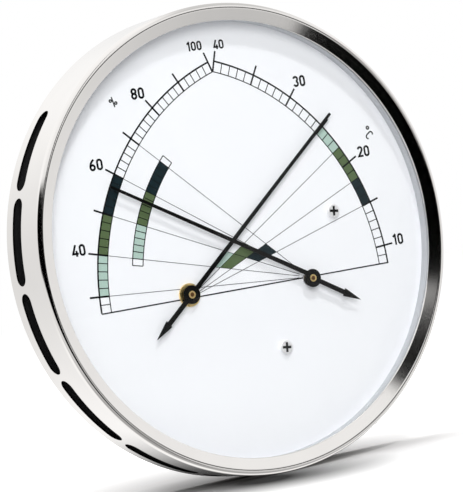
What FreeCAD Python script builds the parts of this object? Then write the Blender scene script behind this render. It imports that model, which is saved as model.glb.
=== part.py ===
import FreeCAD, Part
import math
import os
import re
import Sketcher

# A round wall instrument that shows room temperature and humidity on one dial.
# Each piece is drawn as seen from the front: its own x runs to the right, its own y runs up, and its
# own z runs from the wall towards the viewer. Its placement then stands it up, so that in the finished
# part +Z is up, the front looks along -Y, and the origin is on the case axis in the wall plane.
# Lengths are millimetres, and angles are degrees.

SIZES = {
    # case
    "case_diameter": 130.0,
    "case_depth": 18.7,
    "case_sheet": 0.5,
    "corner_radius": 1.4,
    "corner_facet_count": 3,
    "ring_width": 4.9,
    "ring_slope_angle": 21.3,
    "vent_width": 5.1,
    "vent_land": 1.96,
    "vent_rear_gap": 3.7,
    "vent_pitch_angle": 22.5,
    "vent_first_angle": 149.6,
    "vent_count": 12,
    # glass, spacer ring and dial, stacked behind the front ring
    "seat_gap": 0.02,
    "disc_play": 0.3,
    "glass_thickness": 1.5,
    "spacer_step": 0.3,
    "dial_gap": 2.7,
    "dial_sheet": 0.8,
    "hole_play": 0.1,
    # rear cover
    "cover_thickness": 2.0,
    "post_inset": 8.0,
    "post_diameter": 6.0,
    "post_count": 4,
    "keyhole_diameter": 8.5,
    "keyhole_slot_width": 4.4,
    "keyhole_inset": 31.0,
    "keyhole_travel": 8.0,
    "access_diameter": 6.0,
    # pivots of the two pointers, from the case axis
    "thermometer_across": 19.5,
    "thermometer_below": 12.7,
    "hygrometer_across": 19.5,
    "hygrometer_below": 14.1,
    "arbor_diameter": 1.2,
    "running_play": 0.05,
    # pointers
    "pointer_sheet": 0.35,
    "pointer_hub": 5.1,
    "pointer_root_width": 1.27,
    "pointer_tip_width": 0.75,
    "pointer_tail_width": 1.3,
    "pointer_head_width": 2.3,
    "collet_diameter": 2.1,
    "collet_proud": 0.1,
    "arbor_sunk": 0.06,
    "temperature_rise": 1.35,
    "temperature_reach": 69.6,
    "temperature_tail": 16.6,
    "temperature_head": 5.8,
    "temperature_angle": 38.57,
    "humidity_rise": 1.95,
    "humidity_reach": 67.3,
    "humidity_tail": 16.8,
    "humidity_head": 5.8,
    "humidity_angle": 150.14,
    "humidity_crank": 0.62,
    "humidity_crank_width": 1.9,
    "humidity_crank_reach": 3.3,
    # thermometer
    "thermometer_flange": 6.4,
    "thermometer_flange_height": 0.6,
    "thermometer_barrel": 5.0,
    "thermometer_barrel_overrun": 0.3,
    "bracket_sheet": 0.8,
    "bracket_eye": 10.0,
    "bracket_width": 4.0,
    "bracket_leg_overrun": 0.2,
    "nut_flats": 8.0,
    "nut_thickness": 1.8,
    "coil_collar_diameter": 3.6,
    "coil_collar_gap": 0.2,
    "coil_collar_length": 3.4,
    "coil_strip": 0.3,
    "coil_strip_width": 3.0,
    "coil_pitch": 2.2,
    "coil_turn_count": 3,
    "arbor_rear_overrun": 0.2,
    # hygrometer
    "movement_angle": 56.7,
    "dial_screw_reach": 21.0,
    "dial_screw_head": 3.3,
    "dial_screw_head_height": 1.0,
    "dial_screw_diameter": 2.0,
    "dial_screw_overrun": 0.7,
    "recess_width": 0.5,
    "recess_length": 2.0,
    "recess_depth": 0.55,
    "base_sheet": 0.8,
    "base_width": 14.0,
    "hygrometer_flange": 4.2,
    "hygrometer_flange_height": 0.5,
    "hygrometer_barrel": 3.6,
    "pillar_along": 12.0,
    "pillar_aside": 5.0,
    "pillar_flats": 4.0,
    "pillar_length": 5.2,
    "bridge_sheet": 0.8,
    "bridge_width": 7.0,
    "pivot_diameter": 0.8,
    "pivot_overrun": 0.2,
    "end_play": 0.1,
    # hair, its crank and its adjuster
    "hair_diameter": 0.5,
    "hair_gap": 1.75,
    "hair_line": 1.6,
    "hair_reach": 38.0,
    "hook_pin": 0.8,
    "hook_pin_play": 0.05,
    "hook_pin_length": 1.3,
    "link_width": 1.8,
    "link_sheet": 0.6,
    "link_length": 3.7,
    "crank_sheet": 0.6,
    "crank_hub": 2.4,
    "crank_gap": 0.5,
    "adjuster_spindle": 3.0,
    "adjuster_flange": 6.8,
    "adjuster_flange_height": 0.7,
    "adjuster_throw": 2.6,
    "adjuster_end_play": 0.05,
    "adjuster_rear_gap": 1.2,
    "adjuster_slot_width": 0.7,
    "adjuster_slot_depth": 1.2,
    "adjuster_rivet": 4.2,
    "adjuster_rivet_height": 0.35,
    # return spring
    "spring_collar_diameter": 2.8,
    "spring_collar_length": 1.4,
    "spring_strip": 0.15,
    "spring_strip_width": 0.8,
    "spring_pitch": 1.5,
    "spring_turn_count": 2,
    "spring_gap": 1.6,
    "stud_diameter": 1.2,
    "stud_overrun": 0.3,
}

# Places worked out from the sizes, each as a formula. Heights run from the wall plane to the front.
WALL = "(case_diameter / 2 - case_sheet)"
CORNER_CENTRE = "(case_diameter / 2 - corner_radius)"
CONE_RISE = "(case_depth - corner_radius + corner_radius / cos(ring_slope_angle))"
WINDOW = "(case_diameter / 2 - ring_width)"
LIP_FRONT = "(%s - (%s - %s) * tan(ring_slope_angle))" % (CONE_RISE, CORNER_CENTRE, WINDOW)
GLASS_FRONT = "(%s - case_sheet * cos(ring_slope_angle) - seat_gap)" % LIP_FRONT
GLASS_BACK = "(%s - glass_thickness)" % GLASS_FRONT
DIAL_FRONT = "(%s - dial_gap)" % GLASS_BACK
DIAL_BACK = "(%s - dial_sheet)" % DIAL_FRONT
BRACKET_BACK = "(%s - bracket_sheet)" % DIAL_BACK
NUT_BACK = "(%s - nut_thickness)" % BRACKET_BACK
BARREL_BACK = "(%s - thermometer_barrel_overrun)" % NUT_BACK
COIL_COLLAR_BACK = "(%s - coil_collar_gap - coil_collar_length)" % BARREL_BACK
COIL_BACK = "(%s + (coil_collar_length - coil_strip_width) / 2)" % COIL_COLLAR_BACK
COIL_START = "(coil_collar_diameter / 2 + coil_strip / 2 + seat_gap)"
COIL_END = "(%s + coil_turn_count * coil_pitch)" % COIL_START
BASE_BACK = "(%s - base_sheet)" % DIAL_BACK
BRIDGE_FRONT = "(%s - pillar_length)" % BASE_BACK
BRIDGE_BACK = "(%s - bridge_sheet)" % BRIDGE_FRONT
HAIR_HEIGHT = "(%s - hair_gap)" % BASE_BACK
CRANK_BACK = "(%s - crank_gap - crank_sheet)" % BASE_BACK
SPRING_BACK = "(%s + spring_gap)" % BRIDGE_FRONT
SPRING_START = "(spring_collar_diameter / 2 + spring_strip / 2 + seat_gap)"
SPRING_END = "(%s + spring_turn_count * spring_pitch)" % SPRING_START
STUD_REACH = "(%s + spring_strip / 2 + stud_diameter / 2 + seat_gap)" % SPRING_END
PILLAR_REACH = "sqrt(pillar_along * pillar_along + pillar_aside * pillar_aside)"
BRIDGE_ANGLE = "(movement_angle + atan(pillar_aside / pillar_along) / 1 deg)"
HAIR_SIDE_ANGLE = "(movement_angle - 90)"
KEYHOLE_HEIGHT = "(case_diameter / 2 - keyhole_inset)"
BORE = "(arbor_diameter / 2 + running_play)"

THERMOMETER = ("-thermometer_across", "-thermometer_below")
HYGROMETER = ("hygrometer_across", "-hygrometer_below")
CENTRE = ("0", "0")


def movement_place(along, aside):
    """A place on the dial from distances along and across the hair movement."""
    across = "hygrometer_across + (%s) * cos(movement_angle) - (%s) * sin(movement_angle)" % (along, aside)
    up = "-hygrometer_below + (%s) * sin(movement_angle) + (%s) * cos(movement_angle)" % (along, aside)
    return (across, up)


ADJUSTER_ASIDE = "(adjuster_throw - hair_line)"
ADJUSTER_ACROSS, ADJUSTER_UP = movement_place("hair_reach", ADJUSTER_ASIDE)

WORD = re.compile("[a-z][a-z_]+")

document = FreeCAD.newDocument("thermo_hygrometer")
sheet = document.addObject("Spreadsheet::Sheet", "sizes")
subparts = []


def fill_sheet():
    """Writes every size into the sheet and gives its cell the size's name."""
    for row, (name, size) in enumerate(SIZES.items(), 1):
        sheet.set("A%d" % row, name)
        sheet.set("B%d" % row, str(size))
        sheet.setAlias("B%d" % row, name)
    document.recompute()


def sized(formula):
    """The formula with each size read from the sheet."""
    return WORD.sub(lambda word: "sizes." + word.group() if word.group() in SIZES else word.group(), formula)


def value(formula):
    """What a formula comes to with the sheet's sizes."""
    return float(sheet.evalExpression(formula))


def new_body(label):
    """An empty body whose label is the piece's name."""
    body = document.addObject("PartDesign::Body", label)
    body.Label = label
    body.AllowCompound = True
    return body


def stand(piece, place=CENTRE, height="0", turn="0"):
    """Stands a piece up at its place on the dial, its own z=0 at a height above the wall plane."""
    across, up = place
    piece.Placement = FreeCAD.Placement(
        FreeCAD.Vector(value(across), -value(height), value(up)),
        FreeCAD.Rotation(FreeCAD.Vector(1, 0, 0), 90).multiply(
            FreeCAD.Rotation(FreeCAD.Vector(0, 0, 1), value(turn))))
    piece.setExpression("Placement.Base.x", sized(across))
    piece.setExpression("Placement.Base.y", sized("-(" + height + ")"))
    piece.setExpression("Placement.Base.z", sized(up))
    subparts.append(piece)
    return piece


def origin_feature(body, role):
    """A plane or axis of the body's own origin."""
    return next(feature for feature in body.Origin.OriginFeatures if feature.Role == role)


def drawing_on(body, name, plane="XY_Plane", lift="0"):
    """A sketch on one of the body's planes, lifted off it by a formula."""
    drawing = body.newObject("Sketcher::SketchObject", name)
    drawing.AttachmentSupport = (origin_feature(body, plane), "")
    drawing.MapMode = "FlatFace"
    if lift != "0":
        drawing.setExpression("AttachmentOffset.Base.z", sized(lift))
    return drawing


def hold(drawing, curve, point, place):
    """Holds one point of a curve at a place given by two formulas; an empty one leaves its way free."""
    for kind, axis, formula in (("DistanceX", -2, place[0]), ("DistanceY", -1, place[1])):
        if formula == "":
            continue
        if formula == "0":
            drawing.addConstraint(Sketcher.Constraint("PointOnObject", curve, point, axis))
        else:
            index = drawing.addConstraint(Sketcher.Constraint(kind, -1, 1, curve, point, value(formula)))
            drawing.setExpression("Constraints[%d]" % index, sized(formula))


def spot(place):
    """The sketch point at a place given by two formulas."""
    return FreeCAD.Vector(value(place[0]), value(place[1]), 0)


def add_outline(drawing, corners):
    """A closed outline of straight lines through the corners."""
    first = drawing.GeometryCount
    count = len(corners)
    for index in range(count):
        line = Part.LineSegment(spot(corners[index]), spot(corners[(index + 1) % count]))
        drawing.addGeometry(line, False)
    for index in range(count):
        following = first + (index + 1) % count
        drawing.addConstraint(Sketcher.Constraint("Coincident", first + index, 2, following, 1))
    for index, corner in enumerate(corners):
        hold(drawing, first + index, 1, corner)


def add_circle(drawing, diameter, place=CENTRE):
    """A circle of a diameter round a place."""
    circle = Part.Circle(spot(place), FreeCAD.Vector(0, 0, 1), value(diameter) / 2)
    curve = drawing.addGeometry(circle, False)
    if place == CENTRE:
        drawing.addConstraint(Sketcher.Constraint("Coincident", curve, 3, -1, 1))
    else:
        hold(drawing, curve, 3, place)
    index = drawing.addConstraint(Sketcher.Constraint("Diameter", curve, value(diameter)))
    drawing.setExpression("Constraints[%d]" % index, sized(diameter))


def add_hexagon(drawing, flats, across="0"):
    """A hexagon of a width across its flats, at a distance along the sketch's x."""
    corner = "%s / sqrt(3)" % flats
    add_outline(drawing, [("%s + %s * cos(%d)" % (across, corner, angle), "%s * sin(%d)" % (corner, angle))
                          for angle in range(30, 390, 60)])


def add_rounded_strip(drawing, start, end, width, middle="0"):
    """A strip with half-round ends along the sketch's x, its middle line at a height of the sketch."""
    half = "(%s) / 2" % width
    top = "%s + %s" % (middle, half)
    bottom = "%s - %s" % (middle, half)
    first = drawing.GeometryCount
    for centre, upper, lower, outward in ((end, top, bottom, 1), (start, bottom, top, -1)):
        near = spot((centre, lower))
        far = spot((centre, upper))
        tip = spot((centre, middle)) + FreeCAD.Vector(outward * value(half), 0, 0)
        drawing.addGeometry(Part.Arc(near, tip, far), False)
    drawing.addGeometry(Part.LineSegment(spot((end, top)), spot((start, top))), False)
    drawing.addGeometry(Part.LineSegment(spot((start, bottom)), spot((end, bottom))), False)
    for curve, point, place in ((first, 3, (end, "")), (first + 1, 3, (start, "")),
                                (first + 2, 1, (end, top)), (first + 2, 2, (start, top)),
                                (first + 3, 1, (start, bottom)), (first + 3, 2, (end, bottom))):
        hold(drawing, curve, point, place)
    for arc, point, line, line_point in ((first, 1, first + 3, 2), (first, 2, first + 2, 1),
                                         (first + 1, 1, first + 2, 2), (first + 1, 2, first + 3, 1)):
        drawing.addConstraint(Sketcher.Constraint("Coincident", arc, point, line, line_point))


def add_cross(drawing, place, length, width):
    """The outline of a cross recess round a place."""
    arm = "%s / 2" % length
    side = "%s / 2" % width
    steps = [(arm, side), (side, side), (side, arm)]
    corners = []
    for across_sign, up_sign, order in (("+", "+", 1), ("-", "+", -1), ("-", "-", 1), ("+", "-", -1)):
        for across, up in steps[::order]:
            corners.append(("%s %s %s" % (place[0], across_sign, across),
                            "%s %s %s" % (place[1], up_sign, up)))
    add_outline(drawing, corners)


def pad(body, drawing, length, name, towards_wall=False):
    """Pads a sketch towards the viewer, or towards the wall."""
    feature = body.newObject("PartDesign::Pad", name)
    feature.Profile = drawing
    feature.setExpression("Length", sized(length))
    feature.Reversed = towards_wall
    return feature


def cut_through(body, drawing, name):
    """Cuts a sketch through the whole body, both ways."""
    feature = body.newObject("PartDesign::Pocket", name)
    feature.Profile = drawing
    feature.Type = "ThroughAll"
    feature.Midplane = True
    return feature


def cut_down(body, drawing, depth, name):
    """Cuts a sketch from its plane towards the wall."""
    feature = body.newObject("PartDesign::Pocket", name)
    feature.Profile = drawing
    feature.setExpression("Length", sized(depth))
    return feature


def cut_up(body, drawing, depth, name):
    """Cuts a sketch from its plane towards the viewer."""
    feature = cut_down(body, drawing, depth, name)
    feature.Reversed = True
    return feature


def turn_profile(body, corners, name):
    """Turns an outline of radius and height round the piece's own z."""
    drawing = drawing_on(body, name + "_profile", "XZ_Plane")
    add_outline(drawing, corners)
    feature = body.newObject("PartDesign::Revolution", name)
    feature.Profile = drawing
    feature.ReferenceAxis = (drawing, ["V_Axis"])
    feature.Angle = 360
    return feature


def turn_aside(body, corners, along, name):
    """Turns an outline of radius and height round an upright line that stands off the piece's own z."""
    drawing = drawing_on(body, name + "_profile", "XZ_Plane")
    add_outline(drawing, [("%s + %s" % (along, radius), height) for radius, height in corners])
    start = FreeCAD.Vector(value(along), 0, 0)
    axis = drawing.addGeometry(Part.LineSegment(start, start + FreeCAD.Vector(0, 1, 0)), True)
    hold(drawing, axis, 1, (along, "0"))
    drawing.addConstraint(Sketcher.Constraint("Vertical", axis))
    feature = body.newObject("PartDesign::Revolution", name)
    feature.Profile = drawing
    feature.ReferenceAxis = (drawing, ["Axis0"])
    feature.Angle = 360
    return feature


def repeat_round(body, features, count, angle, name):
    """Repeats features round the piece's own z over a whole angle."""
    pattern = body.newObject("PartDesign::PolarPattern", name)
    pattern.Originals = features
    pattern.Axis = (origin_feature(body, "Z_Axis"), [""])
    pattern.setExpression("Angle", sized(angle))
    pattern.setExpression("Occurrences", sized(count))
    body.Tip = pattern
    return pattern


def turned_piece(label, corners):
    """A body that is one turned profile."""
    body = new_body(label)
    turn_profile(body, corners, label + "_turning")
    return body


def tube_corners(inner, outer, low, high):
    """The profile of a plain ring between two radii and two heights."""
    return [(inner, low), (outer, low), (outer, high), (inner, high)]


def corner_point(radius, share):
    """A point on the case's rounded corner, a share of the way from the side wall to the front ring."""
    way = "((90 + ring_slope_angle) * %s)" % share
    return ("%s + %s * cos(%s)" % (CORNER_CENTRE, radius, way),
            "case_depth - corner_radius + %s * sin(%s)" % (radius, way))


def vent_point(side, step):
    """A corner of a vent, whose ends are rounded in four facets."""
    way = "(%d * 45)" % step
    straight = "(case_diameter * sin(vent_pitch_angle / 2) - vent_land - vent_width) / 2"
    return ("%s(%s + vent_width / 2 * cos(%s))" % (side, straight, way),
            "vent_rear_gap + vent_width / 2 * (1 + sin(%s))" % way)


def make_case_shell():
    """One drawn pot: sloping front ring, rounded corner in a few facets, side wall and its belt of vents."""
    body = new_body("case_shell")
    facets = round(value("corner_facet_count"))
    corner = [corner_point("corner_radius", "%d / corner_facet_count" % step) for step in range(facets + 1)]
    lip_inside = ("%s + case_sheet * sin(ring_slope_angle)" % WINDOW,
                  "%s - case_sheet * cos(ring_slope_angle)" % LIP_FRONT)
    turn_profile(body, [(WALL, "0"), ("case_diameter / 2", "0")] + corner + [
        (WINDOW, LIP_FRONT), lip_inside,
        corner_point("(corner_radius - case_sheet)", "1"),
        corner_point("(corner_radius - case_sheet)", "0")], "case_pot")
    vent = drawing_on(body, "vent_outline", "YZ_Plane")
    ends = [vent_point(side, step) for side in ("", "-") for step in (-2, -1, 0, 1, 2)]
    add_outline(vent, ends[:5] + ends[:4:-1])
    cut = body.newObject("PartDesign::Pocket", "vent")
    cut.Profile = vent
    cut.Type = "ThroughAll"
    cut.Reversed = True
    repeat_round(body, [cut], "vent_count", "(vent_count - 1) * vent_pitch_angle", "vent_belt")
    stand(body, turn="vent_first_angle")


def make_window_glass():
    """The flat glass behind the front ring."""
    body = new_body("window_glass")
    disc = drawing_on(body, "glass_outline")
    add_circle(disc, "2 * (%s - disc_play)" % WALL)
    pad(body, disc, "glass_thickness", "glass_disc")
    stand(body, CENTRE, GLASS_BACK)


def make_spacer_ring():
    """The inner wall that keeps the glass off the dial."""
    body = turned_piece("spacer_ring", tube_corners(
        WINDOW + " + spacer_step", WALL + " - disc_play", "0", "dial_gap"))
    stand(body, CENTRE, DIAL_FRONT)


def make_dial_plate():
    """The sheet that carries the scales and both movements."""
    body = new_body("dial_plate")
    drawing = drawing_on(body, "dial_outline")
    add_circle(drawing, "2 * (%s - disc_play)" % WALL)
    add_circle(drawing, "thermometer_barrel + 2 * hole_play", THERMOMETER)
    add_circle(drawing, "hygrometer_barrel + 2 * hole_play", HYGROMETER)
    for side in ("+", "-"):
        across = "hygrometer_across %s dial_screw_reach * cos(movement_angle)" % side
        up = "-hygrometer_below %s dial_screw_reach * sin(movement_angle)" % side
        add_circle(drawing, "dial_screw_diameter + 2 * hole_play", (across, up))
    pad(body, drawing, "dial_sheet", "dial_disc")
    stand(body, CENTRE, DIAL_BACK)


def make_back_cover():
    """The moulded cover pressed into the rear: posts that carry the dial, a keyhole and an access hole."""
    body = new_body("back_cover")
    plate = drawing_on(body, "cover_outline")
    add_circle(plate, "2 * (%s - seat_gap)" % WALL)
    pad(body, plate, "cover_thickness", "cover_plate")
    post = drawing_on(body, "post_outline")
    add_circle(post, "post_diameter", ("case_diameter / 2 - post_inset", "0"))
    post_pad = pad(body, post, DIAL_BACK + " - seat_gap", "post")
    repeat_round(body, [post_pad], "post_count", "360", "posts")
    holes = drawing_on(body, "round_hole_outlines")
    add_circle(holes, "keyhole_diameter", ("0", KEYHOLE_HEIGHT))
    add_circle(holes, "access_diameter", (ADJUSTER_ACROSS, ADJUSTER_UP))
    cut_through(body, holes, "round_holes")
    slot = drawing_on(body, "keyhole_slot_outline")
    half_slot = "keyhole_slot_width / 2"
    add_outline(slot, [("-" + half_slot, KEYHOLE_HEIGHT), (half_slot, KEYHOLE_HEIGHT),
                       (half_slot, KEYHOLE_HEIGHT + " + keyhole_travel"),
                       ("-" + half_slot, KEYHOLE_HEIGHT + " + keyhole_travel")])
    cut_through(body, slot, "keyhole_slot")
    top = drawing_on(body, "keyhole_top_outline")
    add_circle(top, "keyhole_slot_width", ("0", KEYHOLE_HEIGHT + " + keyhole_travel"))
    cut_through(body, top, "keyhole_top")
    stand(body)


def make_dial_screws():
    """Two cheese-head screws that hold the hygrometer's base behind the dial."""
    body = new_body("dial_screws")
    length = "(dial_sheet + base_sheet + dial_screw_overrun)"
    top = length + " + dial_screw_head_height"
    corners = [("0", "0"), ("dial_screw_diameter / 2", "0"), ("dial_screw_diameter / 2", length),
               ("dial_screw_head / 2", length), ("dial_screw_head / 2", top), ("0", top)]
    screw = turn_aside(body, corners, "dial_screw_reach", "screw")
    cross = drawing_on(body, "cross_outline", lift=top)
    add_cross(cross, ("dial_screw_reach", "0"), "recess_length", "recess_width")
    cut = cut_down(body, cross, "recess_depth", "cross")
    repeat_round(body, [screw, cut], "2", "360", "screws")
    stand(body, HYGROMETER, DIAL_FRONT + " - " + length, "movement_angle")


def make_hygrometer_base():
    """The long strip behind the dial that carries the hair movement."""
    body = new_body("hygrometer_base")
    drawing = drawing_on(body, "base_outline")
    add_rounded_strip(drawing, "-dial_screw_reach", "hair_reach", "base_width")
    add_circle(drawing, "hygrometer_barrel")
    add_circle(drawing, "dial_screw_diameter", ("dial_screw_reach", "0"))
    add_circle(drawing, "dial_screw_diameter", ("-dial_screw_reach", "0"))
    add_circle(drawing, "adjuster_spindle + 2 * running_play", ("hair_reach", ADJUSTER_ASIDE))
    pad(body, drawing, "base_sheet", "base_strip")
    rivet = drawing_on(body, "rivet_outline", lift="base_sheet")
    add_circle(rivet, "adjuster_rivet + 2 * running_play", ("hair_reach", ADJUSTER_ASIDE))
    cut_down(body, rivet, "adjuster_rivet_height + 2 * adjuster_end_play", "rivet_recess")
    stand(body, HYGROMETER, BASE_BACK, "movement_angle")


def make_hygrometer_bush():
    """The flanged bush through dial and base, the front bearing of the humidity arbor."""
    flange_back = "dial_sheet + base_sheet"
    body = turned_piece("hygrometer_bush", [
        (BORE, "0"), ("hygrometer_barrel / 2", "0"), ("hygrometer_barrel / 2", flange_back),
        ("hygrometer_flange / 2", flange_back),
        ("hygrometer_flange / 2", flange_back + " + hygrometer_flange_height"),
        (BORE, flange_back + " + hygrometer_flange_height")])
    stand(body, HYGROMETER, BASE_BACK)


def make_bridge_pillars():
    """Two hexagon pillars between base and bridge."""
    body = new_body("bridge_pillars")
    drawing = drawing_on(body, "pillar_outline")
    add_hexagon(drawing, "pillar_flats", PILLAR_REACH)
    pillar = pad(body, drawing, "pillar_length", "pillar")
    repeat_round(body, [pillar], "2", "360", "pillars")
    stand(body, HYGROMETER, BRIDGE_FRONT, BRIDGE_ANGLE)


def make_hygrometer_bridge():
    """The strip across the pillars with the rear bearing of the humidity arbor."""
    body = new_body("hygrometer_bridge")
    drawing = drawing_on(body, "bridge_outline")
    half_length = "(%s + bridge_width / 2)" % PILLAR_REACH
    half_width = "bridge_width / 2"
    add_outline(drawing, [("-" + half_length, "-" + half_width), (half_length, "-" + half_width),
                          (half_length, half_width), ("-" + half_length, half_width)])
    add_circle(drawing, "pivot_diameter + 2 * running_play")
    pad(body, drawing, "bridge_sheet", "bridge_strip")
    stand(body, HYGROMETER, BRIDGE_BACK, BRIDGE_ANGLE)


def make_humidity_arbor():
    """The hygrometer's shaft: thin rear pivot, shoulder, the return spring's collar and plain front end."""
    foot = "(%s - pivot_overrun)" % BRIDGE_BACK
    shoulder = "bridge_sheet + pivot_overrun + end_play"
    collar = "%s - (spring_collar_length - spring_strip_width) / 2 - %s" % (SPRING_BACK, foot)
    collar_top = collar + " + spring_collar_length"
    front = "%s + humidity_rise + pointer_sheet + collet_proud - arbor_sunk - %s" % (DIAL_FRONT, foot)
    body = turned_piece("humidity_arbor", [
        ("0", "0"), ("pivot_diameter / 2", "0"), ("pivot_diameter / 2", shoulder),
        ("arbor_diameter / 2", shoulder), ("arbor_diameter / 2", collar),
        ("spring_collar_diameter / 2", collar), ("spring_collar_diameter / 2", collar_top),
        ("arbor_diameter / 2", collar_top), ("arbor_diameter / 2", front), ("0", front)])
    stand(body, HYGROMETER, foot)


def make_hair_crank():
    """The little arm on the humidity arbor with the pin that the hair pulls."""
    body = new_body("hair_crank")
    plate = drawing_on(body, "crank_outline")
    half_hub = "crank_hub / 2"
    add_outline(plate, [("-" + half_hub, "-" + half_hub), ("hair_line + hook_pin", "-" + half_hub),
                        ("hair_line + hook_pin", half_hub), ("-" + half_hub, half_hub)])
    pad(body, plate, "crank_sheet", "crank_plate")
    bore = drawing_on(body, "crank_bore_outline")
    add_circle(bore, "arbor_diameter")
    cut_through(body, bore, "crank_bore")
    pin = drawing_on(body, "crank_pin_outline")
    add_circle(pin, "hook_pin", ("hair_line", "0"))
    pad(body, pin, "hook_pin_length", "crank_pin", towards_wall=True)
    stand(body, HYGROMETER, CRANK_BACK, HAIR_SIDE_ANGLE)


def make_link(label, along, turn):
    """A flat link on one end of the hair with an eye that hooks on a pin."""
    body = new_body(label)
    half_width = "link_width / 2"
    plate = drawing_on(body, "link_outline")
    add_outline(plate, [("-" + half_width, "-" + half_width), ("link_length", "-" + half_width),
                        ("link_length", half_width), ("-" + half_width, half_width)])
    add_circle(plate, "hook_pin + 2 * hook_pin_play")
    pad(body, plate, "link_sheet", "link_plate")
    stand(body, movement_place(along, "-hair_line"), HAIR_HEIGHT + " - link_sheet / 2", turn)


def make_hair_strand():
    """The bundle of synthetic hair between its two links."""
    body = new_body("hair_strand")
    drawing = drawing_on(body, "strand_outline", "YZ_Plane", lift="link_length + seat_gap")
    add_circle(drawing, "hair_diameter")
    pad(body, drawing, "hair_reach - 2 * (link_length + seat_gap)", "strand")
    stand(body, movement_place("0", "-hair_line"), HAIR_HEIGHT, "movement_angle")


def make_hair_adjuster():
    """The eccentric stud at the far end of the hair, slotted for a screwdriver from the rear."""
    body = new_body("hair_adjuster")
    rear = "(cover_thickness + adjuster_rear_gap)"
    post = "(%s - %s - adjuster_end_play)" % (BASE_BACK, rear)
    flange = post + " - adjuster_flange_height"
    rivet_top = "(%s - %s - adjuster_end_play)" % (DIAL_BACK, rear)
    rivet = rivet_top + " - adjuster_rivet_height"
    turn_profile(body, [
        ("0", "0"), ("adjuster_spindle / 2", "0"), ("adjuster_spindle / 2", flange),
        ("adjuster_flange / 2", flange), ("adjuster_flange / 2", post), ("adjuster_spindle / 2", post),
        ("adjuster_spindle / 2", rivet), ("adjuster_rivet / 2", rivet), ("adjuster_rivet / 2", rivet_top),
        ("0", rivet_top)], "stud")
    slot = drawing_on(body, "slot_outline")
    half_slot = "adjuster_slot_width / 2"
    add_outline(slot, [("-adjuster_spindle", "-" + half_slot), ("adjuster_spindle", "-" + half_slot),
                       ("adjuster_spindle", half_slot), ("-adjuster_spindle", half_slot)])
    cut_up(body, slot, "adjuster_slot_depth", "slot")
    pin = drawing_on(body, "pin_outline", lift=flange)
    add_circle(pin, "hook_pin", ("adjuster_throw", "0"))
    pad(body, pin, "hook_pin_length + crank_gap + crank_sheet - adjuster_flange_height - adjuster_end_play",
        "pin", towards_wall=True)
    stand(body, movement_place("hair_reach", ADJUSTER_ASIDE), rear, HAIR_SIDE_ANGLE)


def make_spring_stud():
    """The stud on the bridge that holds the outer end of the return spring."""
    body = new_body("spring_stud")
    drawing = drawing_on(body, "stud_outline")
    add_circle(drawing, "stud_diameter", ("-" + STUD_REACH, "0"))
    pad(body, drawing, "spring_gap + spring_strip_width + stud_overrun", "stud")
    stand(body, HYGROMETER, BRIDGE_FRONT, BRIDGE_ANGLE)


def make_spiral(label, start, pitch, turns, strip, width, place, height, turn):
    """A flat spiral of strip from +x to -x: half circles round two centres a half pitch apart, in turn."""
    step = value(pitch) / 2
    inner = []
    outer = []
    for index in range(2 * round(value(turns)) + 1):
        centre = FreeCAD.Vector(step * (index % 2), 0, 0)
        begin = math.pi * index
        for edges, shift in ((inner, -value(strip) / 2), (outer, value(strip) / 2)):
            radius = value(start) + step * index + shift
            points = [centre + FreeCAD.Vector(radius * math.cos(angle), radius * math.sin(angle), 0)
                      for angle in (begin, begin + math.pi / 2, begin + math.pi)]
            edges.append(Part.Arc(*points).toShape())
    caps = [Part.makeLine(inner[end].Vertexes[end].Point, outer[end].Vertexes[end].Point) for end in (0, -1)]
    face = Part.Face(Part.Wire(Part.__sortEdges__(inner + outer + caps)))
    spiral = document.addObject("Part::Feature", label)
    spiral.Label = label
    spiral.Shape = face.extrude(FreeCAD.Vector(0, 0, value(width)))
    stand(spiral, place, height, turn)


def make_thermometer_bush():
    """The flanged brass bush through the dial, the only bearing of the temperature arbor."""
    flange_back = "(%s - %s)" % (DIAL_FRONT, BARREL_BACK)
    body = turned_piece("thermometer_bush", [
        (BORE, "0"), ("thermometer_barrel / 2", "0"), ("thermometer_barrel / 2", flange_back),
        ("thermometer_flange / 2", flange_back),
        ("thermometer_flange / 2", flange_back + " + thermometer_flange_height"),
        (BORE, flange_back + " + thermometer_flange_height")])
    stand(body, THERMOMETER, BARREL_BACK)


def make_coil_bracket():
    """The sheet arm behind the dial whose bent leg holds the outer end of the bimetal coil."""
    body = new_body("coil_bracket")
    leg = "(%s + coil_strip / 2 + seat_gap)" % COIL_END
    eye = drawing_on(body, "eye_outline")
    add_circle(eye, "bracket_eye")
    pad(body, eye, "bracket_sheet", "eye")
    half_width = "bracket_width / 2"
    arm = drawing_on(body, "arm_outline")
    add_outline(arm, [("0", "-" + half_width), (leg + " + bracket_sheet", "-" + half_width),
                      (leg + " + bracket_sheet", half_width), ("0", half_width)])
    pad(body, arm, "bracket_sheet", "arm")
    foot = drawing_on(body, "leg_outline")
    add_outline(foot, [(leg, "-" + half_width), (leg + " + bracket_sheet", "-" + half_width),
                       (leg + " + bracket_sheet", half_width), (leg, half_width)])
    pad(body, foot, "%s - %s + bracket_leg_overrun" % (BRACKET_BACK, COIL_BACK), "leg", towards_wall=True)
    bore = drawing_on(body, "bore_outline")
    add_circle(bore, "thermometer_barrel")
    cut_through(body, bore, "bore")
    stand(body, THERMOMETER, BRACKET_BACK, "180")


def make_thermometer_nut():
    """The hexagon nut that clamps bracket and bush to the dial."""
    body = new_body("thermometer_nut")
    drawing = drawing_on(body, "nut_outline")
    add_hexagon(drawing, "nut_flats")
    add_circle(drawing, "thermometer_barrel")
    pad(body, drawing, "nut_thickness", "nut")
    stand(body, THERMOMETER, NUT_BACK)


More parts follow.
